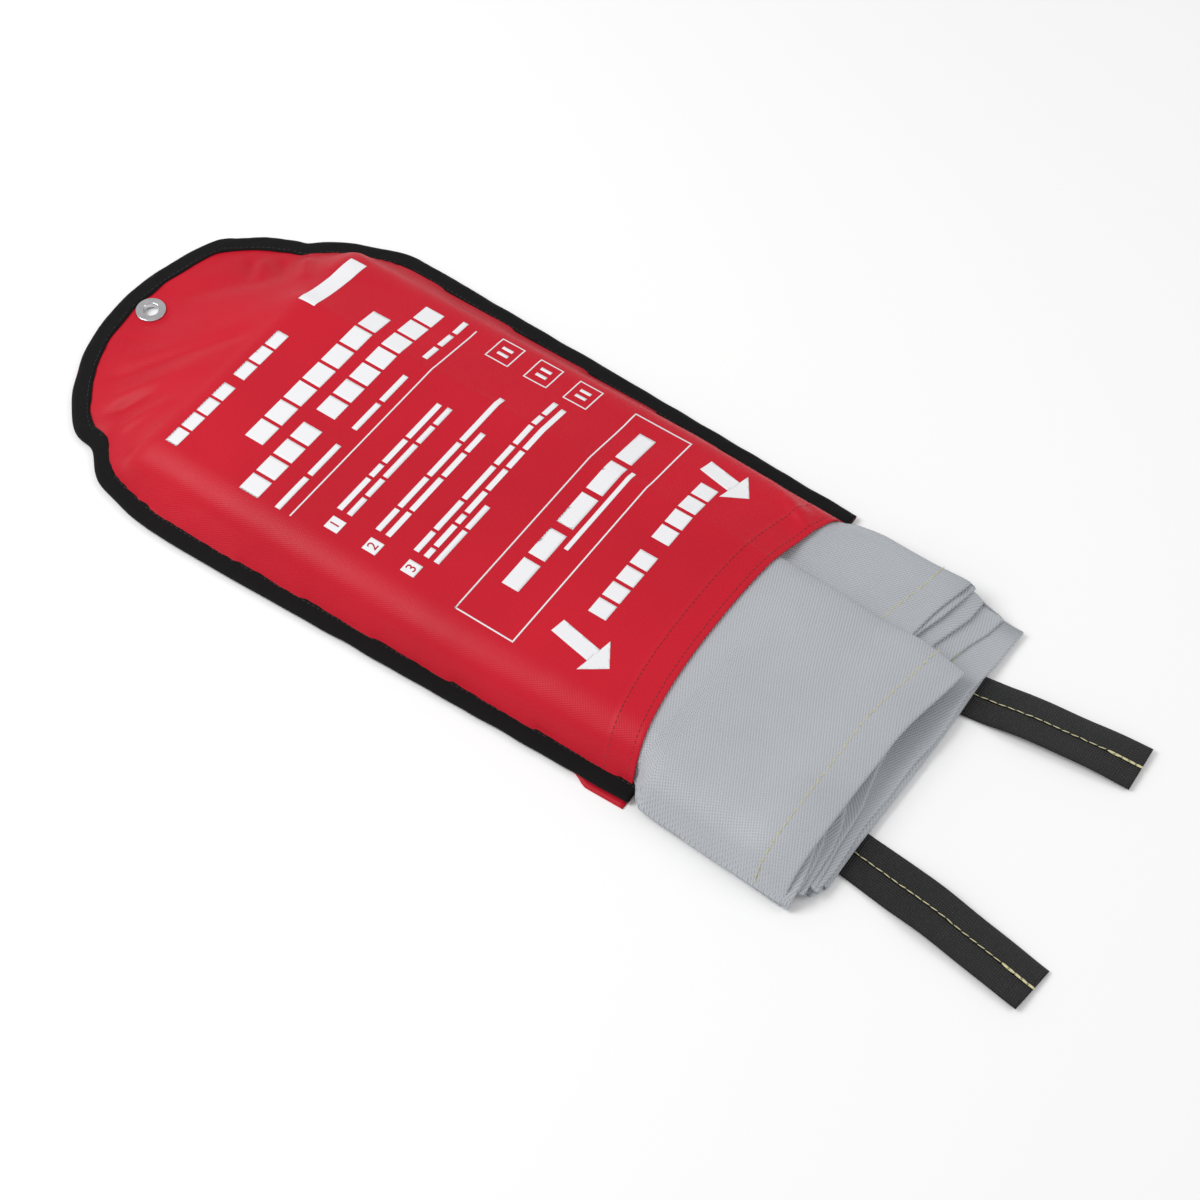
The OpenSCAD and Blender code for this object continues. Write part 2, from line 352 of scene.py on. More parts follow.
def cloth_grid(name, points, flat, slot, thick, keep=None):
    """A cloth of that thickness from rows and columns of points, with its flat places as UVs, both in millimetres."""
    rows, columns = points.shape[:2]
    mesh = bpy.data.meshes.new(name)
    at = np.arange(rows * columns).reshape(rows, columns)
    quads = np.stack([at[:-1, :-1], at[1:, :-1], at[1:, 1:], at[:-1, 1:]], -1).reshape(-1, 4)
    if keep is not None:
        middle = points.reshape(-1, 3)[quads].mean(1)
        quads = quads[keep(middle[:, 0], middle[:, 1])]
    used, inverse = np.unique(quads, return_inverse=True)
    mesh.from_pydata((points.reshape(-1, 3)[used] * MM).tolist(), [], inverse.reshape(-1, 4).tolist())
    layer = mesh.uv_layers.new(name="flat")
    corner = np.zeros(len(mesh.loops), np.int32)
    mesh.loops.foreach_get("vertex_index", corner)
    layer.data.foreach_set("uv", (flat.reshape(-1, 2)[used][corner] * MM).astype(np.float32).ravel())
    return thickened(new_object(name, mesh, slot), thick, 0)


def dropped(panel, x, y, above):
    """Heights in millimetres that far above the top of a finished piece, straight below each place."""
    work = bmesh.new()
    work.from_mesh(panel.data)
    tree = BVHTree.FromBMesh(work)
    work.free()
    hits = [tree.ray_cast((px * MM, py * MM, 0.1), (0, 0, -1))[0] for px, py in zip(x, y)]
    return np.array([hit.z / MM + above for hit in hits])


def printed(name, shapes, panel, above, thick, cell):
    """Flat shapes laid on a panel: each polygon is cut into small cells, dropped that far above it and thickened."""
    work = bmesh.new()
    for outline in shapes:
        work.faces.new([work.verts.new((px, py, 0)) for px, py in outline])
    spread = np.array([p for outline in shapes for p in outline])
    for axis in (0, 1):
        for cut in np.arange(math.floor(spread[:, axis].min() / cell) * cell, spread[:, axis].max(), cell):
            across = (1 - axis, axis, 0)
            whole = work.verts[:] + work.edges[:] + work.faces[:]
            bmesh.ops.bisect_plane(work, geom=whole, plane_co=[cut * a for a in across], plane_no=across)
    bmesh.ops.recalc_face_normals(work, faces=work.faces)
    for f in work.faces:
        if f.normal.z < 0:
            f.normal_flip()
    uv = work.loops.layers.uv.new("flat")
    for f in work.faces:
        for loop in f.loops:
            loop[uv].uv = (loop.vert.co.x * MM, loop.vert.co.y * MM)
    places = np.array([v.co for v in work.verts])
    for v, z in zip(work.verts, dropped(panel, places[:, 0], places[:, 1], above)):
        v.co = (v.co.x * MM, v.co.y * MM, z * MM)
    mesh = bpy.data.meshes.new(name)
    work.to_mesh(mesh)
    work.free()
    return thickened(new_object(name, mesh, "white_print"), thick, 1)


# ---- materials


def add_node(tree, kind, links=(), **settings):
    """Makes a node, and links or sets its inputs."""
    node = tree.nodes.new(kind)
    for key, value in settings.items():
        setattr(node, key, value)
    for socket, value in dict(links).items():
        if isinstance(value, bpy.types.NodeSocket):
            tree.links.new(value, node.inputs[socket])
        else:
            node.inputs[socket].default_value = value
    return node


class Finish:
    """A short way to write a material's nodes."""

    def __init__(self, name, color, roughness, **sockets):
        self.material = bpy.data.materials.new(name)
        self.material.use_nodes = True
        self.tree = self.material.node_tree
        self.shader = self.tree.nodes["Principled BSDF"]
        self.shader.inputs["Base Color"].default_value = (*color, 1)
        self.shader.inputs["Roughness"].default_value = roughness
        for socket, value in sockets.items():
            self.shader.inputs[socket.replace("_", " ")].default_value = value
        self.normal = None

    def node(self, kind, links=(), **settings):
        return add_node(self.tree, kind, links, **settings)

    def place(self, uv=True, scale=(1, 1, 1), turn=0.0):
        """The flat cloth's own coordinates, or the piece's, scaled to repeats per metre."""
        source = self.node("ShaderNodeTexCoord").outputs["UV" if uv else "Object"]
        spun = self.node("ShaderNodeMapping", {"Vector": source, "Rotation": (0, 0, turn)})
        return self.node("ShaderNodeMapping", {"Vector": spun.outputs[0], "Scale": scale}).outputs[0]

    def math(self, operation, a, b=0.0):
        return self.node("ShaderNodeMath", {0: a, 1: b}, operation=operation).outputs[0]

    def mixed(self, *parts):
        """Sum of the given values, each times its share."""
        return functools.reduce(lambda a, b: self.math("ADD", a, b), [self.math("MULTIPLY", *part) for part in parts])

    def spread(self, value, span, low):
        """A value from 0 to 1 brought to that span above low."""
        return self.math("ADD", self.math("MULTIPLY", value, span), low)

    def noise(self, place, scale, detail=3.0, rough=0.5):
        links = {"Vector": place, "Scale": scale, "Detail": detail, "Roughness": rough}
        return self.node("ShaderNodeTexNoise", links).outputs["Fac"]

    def ribs(self, place, axis="X"):
        """Waves, one for each unit along an axis."""
        return self.wave(self.node("ShaderNodeSeparateXYZ", {"Vector": place}).outputs[axis])

    def wave(self, value):
        return self.math("SINE", self.math("MULTIPLY", value, math.tau))

    def ramp(self, value, stops):
        node = self.node("ShaderNodeValToRGB", {"Fac": value})
        ramp = node.color_ramp
        while len(ramp.elements) < len(stops):
            ramp.elements.new(0.5)
        for element, (position, color) in zip(ramp.elements, stops):
            element.position, element.color = position, (*color, 1)
        return node.outputs["Color"]

    def relief(self, height, depth, strength=1.0):
        """Adds a bump that is that many millimetres deep on top of those before it."""
        links = {"Height": height, "Distance": depth * MM, "Strength": strength}
        if self.normal is not None:
            links["Normal"] = self.normal
        self.normal = self.node("ShaderNodeBump", links).outputs[0]

    def done(self, color=None, roughness=None):
        for socket, value in (("Base Color", color), ("Roughness", roughness), ("Normal", self.normal)):
            if value is not None:
                self.tree.links.new(value, self.shader.inputs[socket])
        return self.material


def linear(color):
    return tuple(c / 12.92 if c <= 0.04045 else ((c + 0.055) / 1.055) ** 2.4 for c in color)


def shaded(color, share):
    return tuple(min(1.0, c * share) for c in color)


BAG_WEAVE = (1.5, 0.35)  # pitch and turn of the bag cloth's weave


def plain_weave(finish, pitch, turn):
    """Over and under of a plain weave, as a height."""
    place = finish.place(scale=(1 / (pitch * MM),) * 3, turn=turn)
    return finish.math("MULTIPLY", finish.ribs(place, "X"), finish.ribs(place, "Y"))


def coated_cloth(name, color, roughness=0.4):
    """Fine woven fabric under a soft, slightly glossy coating."""
    f = Finish(name, color, roughness, Specular_IOR_Level=0.2)
    weave = plain_weave(f, *BAG_WEAVE)
    body = f.place(uv=False)
    tone = f.mixed((f.noise(body, 9, 3), 0.8), (weave, 0.05))
    f.relief(weave, 0.045)
    f.relief(f.noise(body, 420, 2), 0.03)
    f.relief(f.noise(body, 60, 2), 0.16)
    shine = f.spread(f.noise(body, 30, 3), 0.16, roughness - 0.08)
    return f.done(f.ramp(tone, [(0.25, shaded(color, 0.9)), (0.6, shaded(color, 1.06))]), shine)


def glass_cloth(name, color, pitch=1.8):
    """Coated glass cloth: a twill whose ribs show through the coating and are painted into its colour, darker between
    them as painted shade.
    """
    f = Finish(name, color, 0.5, Specular_IOR_Level=0.42)
    x, y, _ = f.node("ShaderNodeSeparateXYZ", {"Vector": f.place(scale=(1 / (pitch * MM),) * 3)}).outputs
    rib = f.wave(f.math("ADD", x, f.math("MULTIPLY", y, 0.5)))
    ends = f.wave(f.math("SUBTRACT", y, f.math("MULTIPLY", x, 0.5)))
    twill = f.mixed((rib, 0.6), (f.math("MULTIPLY", rib, ends), 0.6))
    body = f.place(uv=False)
    speck = f.noise(f.place(), 900, 2)
    # the twill's share of the colour is painted shade, darker between the ribs; the specks and blotches are random tone
    tone = f.mixed((twill, 0.3), (speck, 0.35), (f.noise(body, 14, 3), 0.4))
    f.relief(twill, 0.12)
    f.relief(speck, 0.05)
    f.relief(f.noise(body, 26, 2), 0.5)
    ramp = f.ramp(tone, [(0.05, shaded(color, 0.72)), (0.4, color), (0.75, shaded(color, 1.14))])
    return f.done(ramp, f.spread(speck, 0.2, 0.33))


def woven_tape(name, color, pitch, depth, roughness, light, shine):
    """Black woven tape with a pebbled face, its weave and grain painted into the colour, with painted highlights on the
    raised threads and grain specks.
    """
    f = Finish(name, color, roughness, Specular_IOR_Level=shine, Sheen_Weight=0.06, Sheen_Roughness=0.4)
    f.relief(f.noise(f.place(uv=False), 48, 2), 0.7)
    weave = plain_weave(f, pitch, math.radians(45))
    grain = f.noise(f.place(), 1300, 2)
    # weave and grain in the colour: the brightest specks, up to light times the colour, are painted highlights on the
    # raised threads
    tone = f.mixed((weave, 0.3), (grain, 0.9))
    f.relief(weave, depth)
    f.relief(grain, depth * 0.7)
    ramp = f.ramp(tone, [(0.3, shaded(color, 0.6)), (0.55, color), (0.85, shaded(color, light))])
    return f.done(ramp, f.spread(grain, 0.25, roughness - 0.12))


def thread(name, color):
    """Twisted sewing thread."""
    f = Finish(name, color, 0.6, Sheen_Weight=0.2)
    grain = f.noise(f.place(uv=False), 2600, 2)
    f.relief(grain, 0.08)
    return f.done(f.ramp(grain, [(0.3, shaded(color, 0.72)), (0.6, color), (0.8, shaded(color, 1.12))]))


def plated_metal(name, color):
    """Polished nickel plate with fine handling marks."""
    f = Finish(name, color, 0.16, Metallic=1.0)
    body = f.place(uv=False)
    marks = f.noise(f.node("ShaderNodeMapping", {"Vector": body, "Scale": (1, 1, 6)}).outputs[0], 700, 4, 0.65)
    f.relief(marks, 0.02)
    tone = f.ramp(f.noise(body, 160, 3), [(0.3, shaded(color, 0.86)), (0.7, color)])
    return f.done(tone, f.spread(marks, 0.16, 0.1))


def printed_white(name, color):
    """White screen print that follows the cloth's grain."""
    f = Finish(name, color, 0.42, Specular_IOR_Level=0.4)
    f.relief(plain_weave(f, *BAG_WEAVE), 0.035)
    worn = f.noise(f.place(uv=False), 500, 4, 0.7)
    return f.done(f.ramp(worn, [(0.22, shaded(color, 0.82)), (0.38, color)]))


@functools.lru_cache(maxsize=None)
def finish_of(slot):
    """The material of one of the record's slots."""
    cloth = bpy.context.scene.fire_blanket_colors
    maker, color, *settings = {
        "red_coated_cloth": (coated_cloth, linear(cloth.bag)),
        "grey_glass_cloth": (glass_cloth, linear(cloth.blanket)),
        # the tapes' pitch, depth, roughness, how bright the painted highlights on their raised threads and specks are,
        # and shine
        "black_binding_tape": (woven_tape, shaded(linear(cloth.tape), 0.25), 1.1, 0.09, 0.78, 3.0, 0.2),
        "black_strap_tape": (woven_tape, shaded(linear(cloth.tape), 0.5), 2.1, 0.34, 0.46, 4.6, 0.45),
        "black_thread": (thread, linear((0.09, 0.09, 0.1))),
        "dark_red_thread": (thread, linear((0.5, 0.06, 0.1))),
        "yellow_thread": (thread, linear((0.86, 0.83, 0.58))),
        "cream_thread": (thread, linear((0.88, 0.85, 0.66))),
        "plated_eyelet": (plated_metal, linear((0.86, 0.86, 0.87))),
        "white_print": (printed_white, linear(cloth.print)),
    }[slot]
    return maker(slot, color, *settings)


def fixed_to(body, obj, *nodes):
    """Makes a piece ride on a body and stand for its solids."""
    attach(obj, body)
    if nodes:
        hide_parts(*nodes)
    return obj


# ---- stitches


@functools.lru_cache(maxsize=1)
def stitch_tree():
    """Geometry Nodes that lay one rounded stitch after another along a line."""
    tree = bpy.data.node_groups.new("Stitch row", "GeometryNodeTree")
    sockets = {}
    face = tree.interface
    face.new_socket("Geometry", in_out="INPUT", socket_type="NodeSocketGeometry")
    for label, kind, value in (
        ("Pitch", "NodeSocketFloat", 0.005),
        ("Stitch length", "NodeSocketFloat", 0.004),
        ("Thread width", "NodeSocketFloat", 0.0006),
        ("Seed", "NodeSocketInt", 1),
        ("Thread", "NodeSocketMaterial", None),
    ):
        socket = face.new_socket(label, in_out="INPUT", socket_type=kind)
        if value is not None:
            socket.default_value = value
        sockets[label] = socket.identifier
    face.new_socket("Geometry", in_out="OUTPUT", socket_type="NodeSocketGeometry")

    node = functools.partial(add_node, tree)
    given = node("NodeGroupInput").outputs
    line = node("GeometryNodeMeshToCurve", {"Mesh": given["Geometry"]})
    spaced = node("GeometryNodeResampleCurve", {"Curve": line.outputs[0], "Length": given["Pitch"]}, mode="LENGTH")
    stitch = node("GeometryNodeMeshUVSphere", {"Segments": 7, "Rings": 6, "Radius": 0.5})
    tangent = node("GeometryNodeInputTangent")
    span = {"Min": (-0.1,) * 3, "Max": (0.1,) * 3, "Seed": given["Seed"]}
    lean = node("FunctionNodeRandomValue", span, data_type="FLOAT_VECTOR")
    heading = node("ShaderNodeVectorMath", {0: tangent.outputs[0], 1: lean.outputs["Value"]}, operation="ADD")
    turned = node("FunctionNodeAlignRotationToVector", {"Vector": heading.outputs[0]}, axis="Z")
    width = given["Thread width"]
    size = node("ShaderNodeCombineXYZ", {"X": width, "Y": width, "Z": given["Stitch length"]})
    each = {"Points": spaced.outputs[0], "Instance": stitch.outputs["Mesh"]}
    each |= {"Rotation": turned.outputs[0], "Scale": size.outputs[0]}
    laid = node("GeometryNodeInstanceOnPoints", each)
    real = node("GeometryNodeRealizeInstances", {"Geometry": laid.outputs[0]})
    dyed = node("GeometryNodeSetMaterial", {"Geometry": real.outputs[0], "Material": given["Thread"]})
    node("NodeGroupOutput", {"Geometry": dyed.outputs[0]})
    return tree, sockets


def stitch_rows(name, rows, pitch, slot, width, long, seed):
    """Rows of stitches along lines of points; a stitch's length is a share of the pitch."""
    tree, sockets = stitch_tree()
    points, edges = [], []
    for row in rows:
        first = len(points)
        points += (np.asarray(row) * MM).tolist()
        edges += [(first + i, first + i + 1) for i in range(len(row) - 1)]
    mesh = bpy.data.meshes.new(name)
    mesh.from_pydata(points, edges, [])
    obj = new_object(name, mesh)
    rule = obj.modifiers.new("Stitches", "NODES")
    rule.node_group = tree
    for label, value in (
        ("Pitch", pitch * MM),
        ("Stitch length", pitch * long * MM),
        ("Thread width", width * MM),
        ("Seed", bpy.context.scene.fire_blanket_sizes.seed + seed),
        ("Thread", finish_of(slot)),
    ):
        rule[sockets[label]] = value
    return plain_mesh(obj)


# ---- the blanket


WIDTHS = (235.0,) * 5 + (188.0, 187.0)  # of the seven strips of the zigzag
RANKS = (0, 1, 2, 3, 4, 6, 5)  # their places in the stack
THIRD = 517.0  # length of one third of the sheet


def third_end(chain, y):
    """Where each strip of the top third ends, from the lowest strip (0) to the turned-under one (6)."""
    fan = 10 * eased((y - 50) / 60)
    ends = [
        240 + 5 * eased((y - 50) / 55) - 3 * eased((10 - y) / 90),
        219 + fan + 16 * eased((20 - y) / 130),
        207 + fan + 25 * eased((20 - y) / 130),
        197 + fan + 33 * eased((10 - y) / 125),
        194 + fan + 34 * eased((10 - y) / 125),
        224.5 + 10.5 * eased((y + 20) / 90),
        220 + 1.5 * eased((-95 - y) / 30) + 11 * eased((y + 20) / 90),
    ]
    ends = np.stack([np.broadcast_to(e, np.shape(y)) for e in ends])
    low = np.clip(np.floor(chain), 0, 5).astype(int)
    part, at = eased(chain - low), np.arange(len(y))
    return ends[low, at] * (1 - part) + ends[low + 1, at] * part


def across(chain, share):
    """Place across the bag, near enough for the uneven ends."""
    return (1 - share) * -120 + share * np.where(chain > 4.5, 52, 110)


def cloth_across():
    """Samples across the zigzag: strip, rank in the stack, share of the way to the far side, bulge and flat place."""
    rows, flat = [], 0.0
    for k, width in enumerate(WIDTHS):
        forward = k % 2 == 1  # odd strips run from near to far
        for share in np.linspace(0, 1, 35 if k in (4, 5) else 16):
            rows.append((k, RANKS[k], share if forward else 1 - share, 0.0, flat + width * share))
        flat += width
        if k == 6:
            break
        rise = RANKS[k + 1] - RANKS[k]
        reach = (1 if forward else -1) * (0.7 if rise < 2 else 1.6)
        for turn in np.linspace(0, math.pi, 7)[1:-1]:
            part = (1 - math.cos(turn)) / 2
            rows.append((k + part, RANKS[k] + rise * part, float(forward), reach * math.sin(turn), flat))
    return np.array(rows).T


HEM_EDGE = 1.0  # radius of the turned edge of the sheet's hem
HEM_RISE = 0.7  # how far that edge stands up
NEAR_INSET = (8, 8, 4, 4, 0, 0, 14)  # how far each strip stays inside the pack's near side
FAR_INSET = (2, 3, 3, 1, 1, 0, 0)
NEAR_TUCK = (9, 8, 6, 5, 1, 0, 4)  # how much further in the lower strips end at their front corner


def cloth_place(chain, rank, share, bulge, x, third, drop=0.0):
    """Point of the folded cloth at x, on the third from 0 (lowest) to 2 (top), where the fractions lie in a roll."""
    lower = np.maximum(np.interp(chain, range(7), NEAR_TUCK), 12 * (1 - eased((third - 1) * 2)))
    near = pack_side(x, -1) + np.interp(chain, range(7), NEAR_INSET) + lower * eased((x - 214) / 20)
    full_far = pack_side(x, 1) - np.interp(chain, range(7), FAR_INSET) - 2.5 * eased((x - 208) / 12)
    top = eased(chain - 4)
    far = full_far * (1 - top) + flap_far(x) * top
    inset = np.interp(third, (0, 1, 2), (1.5, 3.5, 0))
    y = near + inset + share * (far - near - 2 * inset) + bulge
    step = beyond_flap(x, y)
    middle = 13 - rank - 4 * step
    a = np.where(third < 1, rank, middle)
    b = np.where(third < 1, middle, 14 + rank - 4 * step)
    part = third - np.floor(np.minimum(third, 1.999))
    layer = a + (b - a) * np.clip(part, 0, 1) + 0.5
    z = pack_height(x, y, layer)
    lift = 2.4 * eased((x - 200) / 24) * bump(y, -25, 85) * eased((rank - 3.3) / 0.6) * eased(third - 1)
    wave = 0.28 * np.sin(y / 15 + 1.7 * rank + 5 * third) * eased((x - 120) / 60)
    quiet = 0.5 * ripple(x, y, 11, 120) * eased((x - 110) / 50) * eased((third - 1.5) * 2) * squeeze(x, y)
    return np.stack([x, y, z + lift + wave + quiet + drop], -1)


def blanket_cloth():
    """Points and flat places of the sheet: zigzag strips across, folded in three along the bag."""
    chain, rank, share, bulge, flat_y = cloth_across()
    y = across(chain, share)
    uneven = 0.7 * np.sin(y / 9 + 2 * chain) + 0.8 * np.sin(y / 21 + 3 * chain)
    end = third_end(chain, y) + uneven * np.where(chain > 4.5, 0.25, 1)
    roll_a = ROLL_END + 1.1 * np.sin(y / 37 + 1)
    columns, flats = [], []

    def column(x, third, flat_x, drop=0.0):
        x = np.broadcast_to(x, rank.shape)
        columns.append(cloth_place(chain, rank, share, bulge, x, np.broadcast_to(third, x.shape), drop))
        flats.append(np.stack([np.broadcast_to(flat_x, x.shape), flat_y], -1))

    for s in np.linspace(0, 1, 30):  # the lowest third, from the head to the mouth
        column(PACK_START + 6 + (roll_a - 10 - PACK_START - 6) * s, 0.0, THIRD * s)
    half_a = (13 - 2 * rank) / 13
    for turn in np.linspace(0, math.pi, 10)[1:-1]:  # the roll at the mouth end
        column(roll_a - 8 + 8 * np.abs(half_a) * math.sin(turn), (1 - math.cos(turn)) / 2, THIRD + 3 * turn)
    for s in np.linspace(0, 1, 30):
        column(roll_a - 10 + (PACK_START + 20 - roll_a) * s, 1.0, THIRD + 10 + (THIRD - 10) * s)
    half_b = (1 + 2 * rank) / 13
    for turn in np.linspace(0, math.pi, 10)[1:-1]:  # the roll in the head
        column(PACK_START + 9 - 9 * half_b * math.sin(turn), 1 + (1 - math.cos(turn)) / 2, 2 * THIRD + 3 * turn)
    from_x = PACK_START + 10
    flat_end = 3 * THIRD
    for s in np.linspace(0, 1, 34)[:-1]:  # the top third, inside the bag
        column(from_x + (95 - from_x) * s, 2.0, flat_end - (end - from_x) * (1 - s * (95 - from_x) / (end - from_x)))
    for s in np.linspace(0, 1, 20)[:-1]:
        x = 95 + (end - 30 - 95) * s
        column(x, 2.0, flat_end - (end - x))
    for before in np.linspace(30, 0, 20):
        column(end - before, 2.0, flat_end - before, HEM_RISE * math.exp(-before / 8))
    for turn in (0.4, 0.8, 1.2, 1.57, 1.95, 2.35, 2.75):  # over the hem's edge and back under it
        fall = HEM_EDGE * (1 - math.cos(turn))
        column(end + HEM_EDGE * math.sin(turn), 2.0, flat_end + turn * HEM_EDGE, HEM_RISE - fall)
    for before in np.linspace(0.0, 21, 9):
        under = HEM_RISE * math.exp(-before / 8) - 0.62 - (2 * HEM_EDGE - 0.62) * max(1 - before / 16, 0)
        column(end - before, 2.0, flat_end + math.pi * HEM_EDGE + before, under)
    return np.stack(columns), np.stack(flats)


def hem_line(strip, before, raise_by):
    """A line across one strip of the top third, that far before its front edge."""
    share = np.linspace(0.0, 1.0, 60)
    chain, rank, top = (np.full(60, float(value)) for value in (strip, RANKS[strip], 2))
    end = third_end(chain, across(chain, share))
    return cloth_place(chain, rank, share, 0.0, end - before, top, raise_by)


# ---- tapes


def bag_outline(start=0.0):
    """Points along the bag's outline from the near mouth corner round the head to the far one."""
    side_x = np.linspace(MOUTH + 0.3 - start, HEAD_CENTRE, 150)
    turn = np.linspace(-math.pi / 2, math.pi / 2, 150)[1:-1]
    head_x = HEAD_CENTRE - HEAD_RADIUS * np.cos(turn)
    head_y = np.where(turn < 0, -half_width(head_x, -1), half_width(head_x, 1))
    x = np.concatenate([side_x, head_x, side_x[::-1]])
    y = np.concatenate([-half_width(side_x, -1), head_y, half_width(side_x[::-1], 1)])
    return np.stack([x, y], -1)


def inward(line):
    """Unit directions from the outline into the bag."""
    run = np.gradient(line, axis=0)
    run /= np.linalg.norm(run, axis=1)[:, None]
    side = np.stack([-run[:, 1], run[:, 0]], -1)
    return side if side[0, 1] > 0 else -side


TAPE_RISE = 1.25  # height of the tape's faces over the seam


def edge_tape_grid():
    """Points and flat places of the tape that is folded over the bag's edge, and its flat length and width."""
    line = bag_outline()
    into = inward(line)
    along = run_along(line)
    section = [(TAPE, 1.0), (9.5, 1.02), (7, 1.0), (4, 1.0), (2, 1.0), (0.8, 0.8), (0.1, 0.35)]
    section += [(n, -h) for n, h in section[::-1]]
    runs = run_along(np.multiply(section, (1, TAPE_RISE)))
    grid, flat = [], []
    for (n, h), run in zip(section, runs):
        upper = h > 0
        wobble = (0.4 * np.sin(along / 5.3) + 0.45 * ripple(along, 0, 21, 33)) * (n / TAPE) ** 2 if n > 5 else 0
        inset = n + wobble * (1 if upper else 0.6) + 0.25 * ripple(along, 0, 22, 26)
        pucker = 0.45 * np.abs(ripple(along, n * 1.5, 23, 17)) * (0.4 + 0.6 * n / TAPE)
        z = SEAM + TAPE_RISE * h + 0.1 * np.sin(along / 5 + n) + (pucker if upper else 0)
        grid.append(np.column_stack([line + into * inset[:, None], z]))
        flat.append(np.column_stack([along, np.full_like(along, run)]))
    return np.stack(grid, 1), np.stack(flat, 1), along[-1], runs[-1]


NEAR_TIP, FAR_TIP = 363.0, 346.0  # where the straps end
STRAP_UNDER = 58  # how much of a strap lies under the blanket


def strap_shape(near, x, v):
    """Middle surface of a pull strap at x and v across it: height above the floor and sideways place."""
    beyond = np.maximum(x - HINGE_X + 6, 0)
    if near:
        z = 1.25 + 2.6 * np.sin(beyond / 36) ** 2 + 0.055 * v * np.sin(beyond / 26) * np.minimum(beyond / 30, 1)
    else:
        twist = 0.05 * v * np.sin(beyond / 29) * np.minimum(beyond / 30, 1)
        z = 1.25 + 2.6 * np.sin(beyond / 41 + 0.15) ** 2 * np.minimum(beyond / 20, 1) - twist
    z = z + (1.0 + 0.35 * np.sin(beyond / 7.5 + (1 if near else 3))) * np.minimum(beyond / 25, 1)
    return strap_line(x, near) + v, z


def strap_tape(name, near):
    """Tape folded from both sides to the middle, where its halves meet, with its flat width and length."""
    root, tip = HINGE_X - STRAP_UNDER, NEAR_TIP if near else FAR_TIP
    section = [(0.35, 0.8), (1.2, 1.1), (3, 1.5), (7, 1.75), (11, 1.6), (14, 1.2), (15, 0.8), (15.4, 0)]
    section += [(15, -0.8), (14, -1), (9, -1), (4, -1), (0, -1)]
    section = np.multiply(section + [(-v, h) for v, h in section[-2::-1]], (1, 0.46))
    v, h = section.T
    runs = run_along(section)
    grid, flat = [], []
    for s in np.linspace(0, 1, 90):
        x = root + (tip - root) * s + v * (0.12 if near else -0.03) * s
        y, z = strap_shape(near, x, v * (1 + 0.012 * np.sin(x / 13)))
        grid.append(np.column_stack([x, y, z + h]))
        flat.append(np.column_stack([x, runs]))
    tape = cloth_grid(name, np.array(grid), np.array(flat), "black_strap_tape", 0.6)
    return tape, runs[-1], tip - root


def strap_row(near, start, end, v, lift):
    """A line along a strap at v across it, that far above its middle surface."""
    xs = np.linspace(start, end, 70)
    y, z = strap_shape(near, xs, np.full_like(xs, v))
    return np.stack([xs, y, z + lift], -1)


# ---- settings


class FireBlanketColors(bpy.types.PropertyGroup):
    bag: FloatVectorProperty(
        name="Bag", description="Colour of the coated bag cloth",
        subtype="COLOR", default=(0.775, 0.085, 0.165), min=0, max=1,
    )
    blanket: FloatVectorProperty(
        name="Blanket", description="Colour of the coated glass cloth",
        subtype="COLOR", default=(0.7, 0.714, 0.735), min=0, max=1,
    )
    tape: FloatVectorProperty(
        name="Tapes", description="Colour of the binding and the straps",
        subtype="COLOR", default=(0.1, 0.1, 0.11), min=0, max=1,
    )
    print: FloatVectorProperty(
        name="Print", description="Colour of the printed marks",
        subtype="COLOR", default=(0.93, 0.93, 0.94), min=0, max=1,
    )


class FireBlanketSizes(bpy.types.PropertyGroup):
    cloth: FloatProperty(
        name="Glass cloth", description="Thickness of the blanket's cloth", default=0.0006, unit="LENGTH"
    )
    panel: FloatProperty(
        name="Bag cloth", description="Thickness of the bag's cloth", default=PANEL * MM, unit="LENGTH"
    )
    tape: FloatProperty(
        name="Binding tape", description="Thickness of the binding tape", default=0.0007, unit="LENGTH"
    )
    stitch: FloatProperty(
        name="Stitch", description="One stitch and its gap in the blanket's hems", default=0.0056, unit="LENGTH"
    )
    seed: IntProperty(name="Seed", description="Start of the small random leans of the stitches", default=1, min=0)


class FireBlanketStudio(bpy.types.PropertyGroup):
    key: FloatProperty(name="Main light", description="Power of the large soft light", default=25.0, unit="POWER")
    fill: FloatProperty(name="Fill", description="Strength of the light from all round", default=0.57)
    lens: FloatProperty(name="Lens", description="Focal length of the camera, in millimetres", default=72.0)


# ---- the pieces


